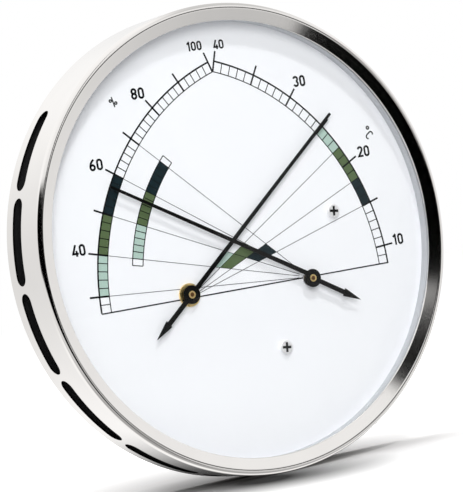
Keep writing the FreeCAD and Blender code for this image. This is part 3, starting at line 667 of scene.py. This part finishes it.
def print_fields():
    """The coloured fields of both scales, the inner band and the crossing zone."""
    inks = {name: bmesh.new() for name in ("dark", "green", "mint")}
    for low, high, name in TEMPERATURE_FIELDS:
        add_field(inks[name], -1, INNER_ARC, OUTER_ARC, temperature_way(low), temperature_way(high))
    for low, high, name in HUMIDITY_FIELDS:
        add_field(inks[name], 1, INNER_ARC, OUTER_ARC, humidity_way(low), humidity_way(high))
    for low, high, name in BAND_FIELDS:
        add_field(inks[name], 1, BAND_INNER, BAND_OUTER, humidity_way(low), humidity_way(high))
    for low, high, dry, damp, name in ZONES:
        corners = [ray_crossing(low, dry), ray_crossing(high, dry), ray_crossing(high, damp),
                   ray_crossing(low, damp)]
        inks[name].faces.new([inks[name].verts.new((x * MM, 0, z * MM)) for x, z in corners])
    for name, material in (("dark", DARK), ("green", GREEN), ("mint", MINT)):
        print_piece("fields_" + name, inks[name], material, FIELD_LIFT)


def print_arcs(strokes):
    """The arcs of both scales and of the inner band."""
    temperature_ends = (temperature_way(TEMPERATURE_START), temperature_way(TEMPERATURE_END))
    humidity_ends = (humidity_way(HUMIDITY_START), humidity_way(HUMIDITY_END))
    band_ends = (humidity_way(BAND_START), humidity_way(BAND_END))
    for side, ends in ((-1, temperature_ends), (1, humidity_ends)):
        add_arc(strokes, side, OUTER_ARC, *ends, WIDE_LINE)
        add_arc(strokes, side, INNER_ARC, *ends, THIN_LINE)
    for radius in (BAND_OUTER, BAND_INNER):
        add_arc(strokes, 1, radius, *band_ends, THIN_LINE)


def print_marks(strokes, side, readings, way_of, inner, outer, width):
    """Short lines across a scale or rays towards it, one at each reading."""
    for reading in readings:
        way = way_of(reading)
        add_stroke(strokes, [on_scale(side, inner, way), on_scale(side, outer, way)], width)


def print_lines():
    """The arcs, cells, ticks, rays and the base line."""
    strokes = bmesh.new()
    print_arcs(strokes)
    degrees = [reading for reading in range(TEMPERATURE_START + 1, TEMPERATURE_END)
               if reading % TEMPERATURE_TICK]
    percents = [reading for reading in range(HUMIDITY_START + HUMIDITY_CELL, HUMIDITY_END, HUMIDITY_CELL)
                if reading % HUMIDITY_TICK]
    temperature_ticks = range(TEMPERATURE_FIRST_TICK, TEMPERATURE_END + 1, TEMPERATURE_TICK)
    humidity_ticks = range(HUMIDITY_FIRST_TICK, HUMIDITY_END + 1, HUMIDITY_TICK)
    band_cells = range(BAND_START, BAND_END + 1, HUMIDITY_CELL)
    for side, readings, way_of, inner, outer, width in (
            (-1, degrees, temperature_way, INNER_ARC, OUTER_ARC, CELL_LINE),
            (-1, temperature_ticks, temperature_way, INNER_ARC, TICK_END, TICK_LINE),
            (1, percents, humidity_way, INNER_ARC, OUTER_ARC, CELL_LINE),
            (1, humidity_ticks, humidity_way, INNER_ARC, TICK_END, TICK_LINE),
            (1, band_cells, humidity_way, BAND_INNER, BAND_OUTER, CELL_LINE),
            (-1, TEMPERATURE_RAYS, temperature_way, RAY_START, INNER_ARC, RAY_LINE),
            (1, HUMIDITY_RAYS, humidity_way, RAY_START, INNER_ARC, RAY_LINE)):
        print_marks(strokes, side, readings, way_of, inner, outer, width)
    reach = OUTER_ARC - SCALE_CENTRE_ACROSS
    add_stroke(strokes, [(-reach, SCALE_CENTRE_UP), (reach, SCALE_CENTRE_UP)], BASE_LINE)
    print_piece("scale_lines", strokes, INK, INK_LIFT)


# Numbers, drawn as strokes in a box one unit high

def glyph(sign):
    """The width of a sign and its strokes, each as its points and whether it closes."""
    edge = DIGIT_STROKE / 2
    left, right, low, high = edge, DIGIT_WIDTH - edge, edge, 1 - edge
    middle = DIGIT_WIDTH / 2
    big = (right - left) / 2
    small = (high - low) / 2 - big
    upper, lower = (middle, high - small), (middle, low + big)
    tall = (middle, high - big)
    width = DIGIT_WIDTH
    if sign == "0":
        strokes = [(arc(tall, big, 0, 180, 14) + arc(lower, big, 180, 360, 14), True)]
    elif sign == "1":
        width = 0.40
        stem = width - edge - 0.04
        strokes = [([(stem, 0), (stem, 1 - edge * 0.6)], False),
                   ([(edge * 0.4, 0.74), (stem + edge * 0.6, 0.98)], False)]
    elif sign == "2":
        strokes = [(arc(tall, big, 172, -38, 16) + [(left + 0.02, low), (DIGIT_WIDTH, low)], False)]
    elif sign == "3":
        strokes = [(arc(upper, small, 165, -80, 16), False), (arc(lower, big, 82, -165, 18), False)]
    elif sign == "4":
        strokes = [([(0.40, 1), (left, 0.25), (DIGIT_WIDTH + 0.02, 0.25)], False),
                   ([(0.44, 0.50), (0.44, 0)], False)]
    elif sign == "6":
        strokes = [(arc(lower, big, 0, 360, 26)[:-1], True),
                   (arc((left + SPINE_RADIUS, low + big), SPINE_RADIUS, 180, 118, 12), False)]
    elif sign == "8":
        strokes = [(arc(upper, small, 0, 360, 22)[:-1], True), (arc(lower, big, 0, 360, 26)[:-1], True)]
    elif sign == "%":
        width = 0.66
        strokes = [(arc((0.15, 0.76), 0.12, 0, 360, 14)[:-1], True),
                   (arc((0.51, 0.24), 0.12, 0, 360, 14)[:-1], True), ([(0.16, 0), (0.50, 1)], False)]
    elif sign == "°":
        width = 0.40
        strokes = [(arc((0.16, 0.84), 0.135, 0, 360, 14)[:-1], True)]
    elif sign == "C":
        strokes = [(arc(tall, big, 28, 180, 12) + arc(lower, big, 180, 332, 12), False)]
    return width, strokes


def add_text(ink, text, centre, height, turn=0.0, stroke=DIGIT_STROKE):
    """Signs side by side, centred on a place and turned."""
    glyphs = [glyph(sign) for sign in text]
    total = sum(width for width, strokes in glyphs) + DIGIT_GAP * (len(glyphs) - 1)
    rotation = Matrix.Rotation(math.radians(turn), 2)
    across = -total / 2
    for width, strokes in glyphs:
        for points, closed in strokes:
            placed = [Vector(centre) + rotation @ Vector((across + x, y - 0.5)) * height for x, y in points]
            add_stroke(ink, placed, stroke * height, closed)
        across += width + DIGIT_GAP


NUMBERS = (("40", (-50.5, 4.1), NUMBER_HEIGHT), ("60", (-41.0, 25.85), NUMBER_HEIGHT),
           ("80", (-24.75, 43.35), NUMBER_HEIGHT), ("100", (-4.55, 54.3), LESSER_HEIGHT),
           ("40", (3.2, 54.0), LESSER_HEIGHT), ("30", (27.45, 41.05), NUMBER_HEIGHT),
           ("20", (45.05, 18.85), NUMBER_HEIGHT), ("10", (51.75, -7.48), NUMBER_HEIGHT))


def print_numbers():
    """The numbers of both scales and the signs of their units."""
    strokes = bmesh.new()
    for text, centre, height in NUMBERS:
        add_text(strokes, text, centre, height)
    add_text(strokes, "%", PERCENT_PLACE, PERCENT_HEIGHT, PERCENT_TURN, SIGN_STROKE)
    add_text(strokes, "°C", DEGREE_PLACE, DEGREE_HEIGHT, DEGREE_TURN, SIGN_STROKE)
    print_piece("numbers", strokes, INK, INK_LIFT)


print_fields()
print_lines()
print_numbers()


# Hair

def fibre(made, number, start, end, depth):
    """One fibre of the bundle, wound round the line from its start to its end."""
    along = (end - start).normalized()
    aside = Vector((-along.y, along.x))
    spread = BUNDLE_RADIUS * (1 if number % INNER_FIBRE_EVERY else INNER_FIBRE_SHARE)
    rings = []
    for step in range(FIBRE_STEPS + 1):
        share = step / FIBRE_STEPS
        way = 2 * math.pi * (number / FIBRE_COUNT + BUNDLE_TWISTS * share)
        centre = start.lerp(end, share) + aside * (spread * math.cos(way))
        deep = depth + spread * math.sin(way)
        ring = []
        for across, down in arc((0, 0), FIBRE_RADIUS, 0, 360, FIBRE_CORNERS)[:-1]:
            point = centre + aside * across
            ring.append(made.verts.new((point.x * MM, (deep + down) * MM, point.y * MM)))
        rings.append(ring)
    for first, second in zip(rings, rings[1:]):
        for corner in range(FIBRE_CORNERS):
            following = (corner + 1) % FIBRE_CORNERS
            made.faces.new((first[corner], first[following], second[following], second[corner]))
    made.faces.new(rings[0])
    made.faces.new(rings[-1])


def make_hair():
    """The bundle of treated fibres between its two links, slightly twisted."""
    low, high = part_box("hair_strand")
    depth = (low.y + high.y) / 2 / MM
    radius = (high.y - low.y) / 2 / MM
    inset = radius * Vector((math.sin(MOVEMENT_ANGLE), math.cos(MOVEMENT_ANGLE)))
    start = Vector((low.x, low.z)) / MM + inset
    end = Vector((high.x, high.z)) / MM - inset
    made = bmesh.new()
    for number in range(FIBRE_COUNT):
        fibre(made, number, start, end, depth)
    bmesh.ops.recalc_face_normals(made, faces=made.faces[:])
    bundle = new_piece("hair_bundle", made, [HAIR], FIBRE_SMOOTH_ANGLE)
    settle(bundle, "case", ["hair_strand"])


make_hair()


# Levels, worked out by nodes

class Level:
    """A number that nodes work out at each point or direction, so that their sums read as formulas."""

    def __init__(self, tree, socket):
        self.tree = tree
        self.socket = socket

    def joined(self, operation, first, second):
        """The level that an operation makes of two levels or numbers."""
        node = add_node(self.tree, "ShaderNodeMath", operation=operation)
        for entry, part in zip(node.inputs, (first, second)):
            if isinstance(part, Level):
                self.tree.links.new(part.socket, entry)
            else:
                entry.default_value = part
        return Level(self.tree, node.outputs[0])

    def __add__(self, other):
        return self.joined("ADD", self, other)

    def __radd__(self, other):
        return self.joined("ADD", other, self)

    def __sub__(self, other):
        return self.joined("SUBTRACT", self, other)

    def __rsub__(self, other):
        return self.joined("SUBTRACT", other, self)

    def __mul__(self, other):
        return self.joined("MULTIPLY", self, other)

    def at_least(self, other):
        """The greater of two."""
        return self.joined("MAXIMUM", self, other)

    def at_most(self, other):
        """The lesser of two."""
        return self.joined("MINIMUM", self, other)

    def eased(self, start, end):
        """0 at the start, 1 at the end, and soft between; the start may be the greater."""
        node = add_node(self.tree, "ShaderNodeMapRange", interpolation_type="SMOOTHSTEP")
        node.inputs["From Min"].default_value = start
        node.inputs["From Max"].default_value = end
        self.tree.links.new(self.socket, node.inputs["Value"])
        return Level(self.tree, node.outputs["Result"])

    def beyond(self, line, run, softness):
        """1 where this lies beyond a line, which is an offset and a slope over the run, and 0 before it."""
        offset, slope = line
        return (self - (offset + run * slope)).eased(-softness, softness)


# Floor

FLOOR_SIZE = 6.0
FLOOR_COLOUR = (0.84, 0.83, 0.825, 1)
FLOOR_CLOUD_SCALE = 3.0
FLOOR_CLOUD_SHADE = 0.995

# What the floor gives back to the object
FLOOR_BOUNCE = (0.5, 0.5, 0.5, 1)

# The floor turns white to the camera between two distances from a place, and keeps its shadow nearer
SHADOW_PLACE = (0.0, -0.010, 0.0)
SHADOW_REACH = (0.03, 0.11)
FAR_GLOW = 0.8

# A painted shadow under the case: an oval where the floor's colour is darker; its place is measured after the
# scale is applied
PAINTED_SHADOW_SCALE = (1.0, 0.77, 1.0)
PAINTED_SHADOW_PLACE = (-0.0125, -0.0185, 0.0)
PAINTED_SHADOW_SHARE = 0.05
PAINTED_SHADOW_REACH = (0.006, 0.038)

# The numbers of a Mix node's colour sockets
MIX_FIRST = 6
MIX_SECOND = 7
MIX_RESULT = 2


def distance_from(tree, position, place):
    """How far a position lies from a place."""
    node = add_node(tree, "ShaderNodeVectorMath", operation="DISTANCE")
    tree.links.new(position, node.inputs[0])
    node.inputs[1].default_value = place
    return node.outputs["Value"]


def floor_tint_with_painted_shadow(tree, position):
    """The floor's colour, with a painted shadow under the case."""
    oval = add_node(tree, "ShaderNodeVectorMath", operation="MULTIPLY")
    tree.links.new(position, oval.inputs[0])
    oval.inputs[1].default_value = PAINTED_SHADOW_SCALE
    away = distance_from(tree, oval.outputs[0], PAINTED_SHADOW_PLACE)
    clouds = noise(tree, FLOOR_CLOUD_SCALE, detail=2.0)
    tint = blend(tree, clouds, shaded(FLOOR_COLOUR, FLOOR_CLOUD_SHADE), FLOOR_COLOUR)
    # Painted shadow: the colour is scaled down near the place under the case
    shade = add_node(tree, "ShaderNodeVectorMath", operation="SCALE")
    tree.links.new(tint, shade.inputs[0])
    tree.links.new(ramp(tree, away, PAINTED_SHADOW_SHARE, 1.0, *PAINTED_SHADOW_REACH), shade.inputs["Scale"])
    return shade.outputs[0]


def make_floor():
    """The pale floor that the case's rim touches; it holds the shadow, deepened by a painted shadow in its
    colour, and steel doesn't mirror it.
    """
    material, tree, shader = new_material("floor")
    shader.inputs["Roughness"].default_value = 1.0
    shader.inputs["Specular IOR Level"].default_value = 0.0
    shader.inputs["Emission Color"].default_value = (1, 1, 1, 1)
    position = add_node(tree, "ShaderNodeTexCoord").outputs["Object"]
    seen = add_node(tree, "ShaderNodeLightPath").outputs["Is Camera Ray"]
    colour = add_node(tree, "ShaderNodeMix", data_type="RGBA")
    tree.links.new(seen, colour.inputs["Factor"])
    colour.inputs[MIX_FIRST].default_value = FLOOR_BOUNCE
    tree.links.new(floor_tint_with_painted_shadow(tree, position), colour.inputs[MIX_SECOND])
    tree.links.new(colour.outputs[MIX_RESULT], shader.inputs["Base Color"])
    glow = ramp(tree, distance_from(tree, position, SHADOW_PLACE), 0.0, FAR_GLOW, *SHADOW_REACH)
    tree.links.new((Level(tree, glow) * Level(tree, seen)).socket, shader.inputs["Emission Strength"])
    made = bmesh.new()
    half = FLOOR_SIZE / 2
    made.faces.new([made.verts.new((x * half, y * half, 0)) for x, y in ((-1, -1), (1, -1), (1, 1), (-1, 1))])
    floor = new_piece("floor", made, [material])
    floor.location.z = -CASE_RADIUS * MM
    floor.visible_glossy = False


# World

# The room's parts are told by the direction that a ray leaves in: x to the right, y away from who
# looks at the dial, z up. A pair of numbers is a start and an end, or a line's offset and slope.

# The even grey that soft surfaces see
AMBIENT = 0.23

# The room's brightness in front of the dial, which falls off towards the floor, and behind it
FRONT_LEVEL = 0.93
FRONT_RISE = 0.2
FRONT_FALL = 1.1
FRONT_LEAST = 0.45
FRONT_TURN = (0.0, 0.45)
BACK_LEVEL = 0.88
BACK_RISE = 1.1
BACK_MOST = 1.15

# A darker part in front, which the glass mirrors
FACING_SHADE = 0.85
FACING_LEFT = (0.38, 0.42)
FACING_RIGHT = (0.66, 0.62)
FACING_LOW = (-0.18, -0.14)
FACING_HIGH = (0.18, 0.14)
FACING_FORWARD = (-0.6, -0.7)

# The object's shadow on the floor, as the side wall mirrors it
FOOT_MIRROR_SHADE = 0.94
FOOT_MIRROR = (0.02, 0.46)
FOOT_MIRROR_DOWN = (0.0, -0.1)
FOOT_MIRROR_BACK = (0.3, 0.5)

# A darker stretch of ceiling to the right
CEILING_SHADE = 0.35
CEILING_RIGHT = (0.2, 0.45)
CEILING_UP = (0.5, 0.7)

# The dark patch in front, which the steel ring mirrors, by its bounding lines
PATCH_RIGHT = (0.205, -0.13)
PATCH_ROOF = (0.215, -0.353)
PATCH_LEFT = (-0.135, 0.30)
PATCH_LOW = (-0.505, -0.5)
PATCH_HIGH = (0.75, 0.0)
PATCH_TURN = (-0.1, 0.1)
SIDE_SOFTNESS = 0.025
LEFT_SOFTNESS = 0.03
END_SOFTNESS = 0.05

# The dark field in front whose edge crosses the glass
FIELD_RIGHT = (0.5179, -0.24)
FIELD_FOOT = (-0.06795, 0.05)
FIELD_HIGH = (0.10, 0.12)
FIELD_LEFT = (0.1, 0.2)
FIELD_SOFTNESS = 0.003


def pale_room(x, y, z):
    """The brightness of the pale room."""
    below = z.at_most(0)
    front = FRONT_LEVEL + z.at_least(0) * FRONT_RISE - below * below * FRONT_FALL
    back = (BACK_LEVEL + z * z * BACK_RISE).at_most(BACK_MOST)
    frontness = (y * -1).eased(*FRONT_TURN)
    pale = front.at_least(FRONT_LEAST) * frontness + back * (1 - frontness)
    facing = x.eased(*FACING_LEFT) * x.eased(*FACING_RIGHT) * z.eased(*FACING_LOW) * z.eased(*FACING_HIGH)
    pale = pale * (1 - facing * y.eased(*FACING_FORWARD) * FACING_SHADE)
    foot = x.eased(*FOOT_MIRROR) * z.eased(*FOOT_MIRROR_DOWN) * y.eased(*FOOT_MIRROR_BACK)
    pale = pale * (1 - foot * FOOT_MIRROR_SHADE)
    ceiling = x.eased(*CEILING_RIGHT) * z.eased(*CEILING_UP)
    return pale * (1 - ceiling * CEILING_SHADE)


def dark_front(x, y, z):
    """1 in the dark patch and the dark field in front, and 0 elsewhere."""
    side = (1 - z.beyond(PATCH_ROOF, x, END_SOFTNESS)).at_least(x.beyond(PATCH_LEFT, z, LEFT_SOFTNESS))
    height = z.beyond(PATCH_LOW, x, END_SOFTNESS) * (1 - z.beyond(PATCH_HIGH, x, END_SOFTNESS))
    patch = (1 - x.beyond(PATCH_RIGHT, z, SIDE_SOFTNESS)) * side * height
    field = (1 - x.beyond(FIELD_RIGHT, z, FIELD_SOFTNESS)) * z.beyond(FIELD_FOOT, x, FIELD_SOFTNESS)
    field = field * (1 - z.eased(*FIELD_HIGH)) * x.eased(*FIELD_LEFT)
    return patch.at_least(field) * (1 - y.eased(*PATCH_TURN))


def make_world():
    """White to the camera, an even grey for soft light, and for steel and glass a pale room that is
    dark in places. What a soft surface sees by way of steel or glass is the even grey too."""
    world = bpy.data.worlds.new("studio")
    bpy.context.scene.world = world
    world.use_nodes = True
    world.cycles.sampling_method = "NONE"
    tree = world.node_tree
    tree.nodes.clear()
    place = add_node(tree, "ShaderNodeTexCoord")
    axes = add_node(tree, "ShaderNodeSeparateXYZ")
    tree.links.new(place.outputs["Generated"], axes.inputs[0])
    x, y, z = [Level(tree, socket) for socket in axes.outputs]
    mirrored = pale_room(x, y, z) * (1 - dark_front(x, y, z))
    path = add_node(tree, "ShaderNodeLightPath")
    seen, glossy, through, softened = [Level(tree, path.outputs[name]) for name in (
        "Is Camera Ray", "Is Glossy Ray", "Is Transmission Ray", "Diffuse Depth")]
    sharp = glossy.at_least(through) * (1 - softened.at_most(1))
    unseen = (1 - sharp) * AMBIENT + mirrored * sharp
    background = add_node(tree, "ShaderNodeBackground")
    background.inputs["Color"].default_value = (1.0, 1.0, 1.0, 1.0)
    tree.links.new((unseen * (1 - seen) + seen).socket, background.inputs["Strength"])
    output = add_node(tree, "ShaderNodeOutputWorld")
    tree.links.new(background.outputs[0], output.inputs["Surface"])


# Lamps

# Each with its place, its width and its power; all are aimed at the origin
LAMPS = (("key", (-0.42, -1.0, 0.44), 0.8, 8.7),
         ("top", (0.05, -0.62, 0.90), 0.14, 3.6),
         ("rear", (0.06, 0.15, 1.0), 0.5, 4.6),
         ("wide", (-0.15, -0.05, 1.0), 1.2, 2.4))


def add_lamp(name, place, size, power):
    """A soft lamp that lights without showing in mirrors."""
    lamp = bpy.data.lights.new(name, "AREA")
    lamp.shape = "DISK"
    lamp.size = size
    lamp.energy = power
    holder = bpy.data.objects.new(name, lamp)
    bpy.context.scene.collection.objects.link(holder)
    holder.location = place
    holder.rotation_euler = (-Vector(place)).to_track_quat("-Z", "Y").to_euler()
    holder.visible_glossy = False
    holder.visible_camera = False


# Camera

# Fitted to the photograph; the focal length is in its pixels
FOCAL_PIXELS = 2428.96
PICTURE_HEIGHT = 492
SENSOR = 36.0
NEAR_CLIP = 0.01
CAMERA_PLACE = Vector((-0.3502, -0.5828, -0.0041))
CAMERA_FORWARD = Vector((0.5199, 0.8542, 0.0039)).normalized()
CAMERA_UP = Vector((0.1432, -0.0917, 0.9854))


def make_camera():
    """The camera at the photograph's place; the long side of the picture is its height."""
    data = bpy.data.cameras.new("camera")
    data.sensor_fit = "AUTO"
    data.sensor_width = SENSOR
    data.lens = FOCAL_PIXELS / PICTURE_HEIGHT * SENSOR
    data.clip_start = NEAR_CLIP
    right = CAMERA_FORWARD.cross(CAMERA_UP).normalized()
    up = right.cross(CAMERA_FORWARD)
    turn = Matrix((right, up, -CAMERA_FORWARD)).transposed().to_4x4()
    camera = bpy.data.objects.new("camera", data)
    bpy.context.scene.collection.objects.link(camera)
    camera.matrix_world = Matrix.Translation(CAMERA_PLACE) @ turn
    bpy.context.scene.camera = camera


make_floor()
make_world()
for name, place, size, power in LAMPS:
    add_lamp(name, place, size, power)
make_camera()

bpy.context.scene.view_settings.view_transform = "Standard"
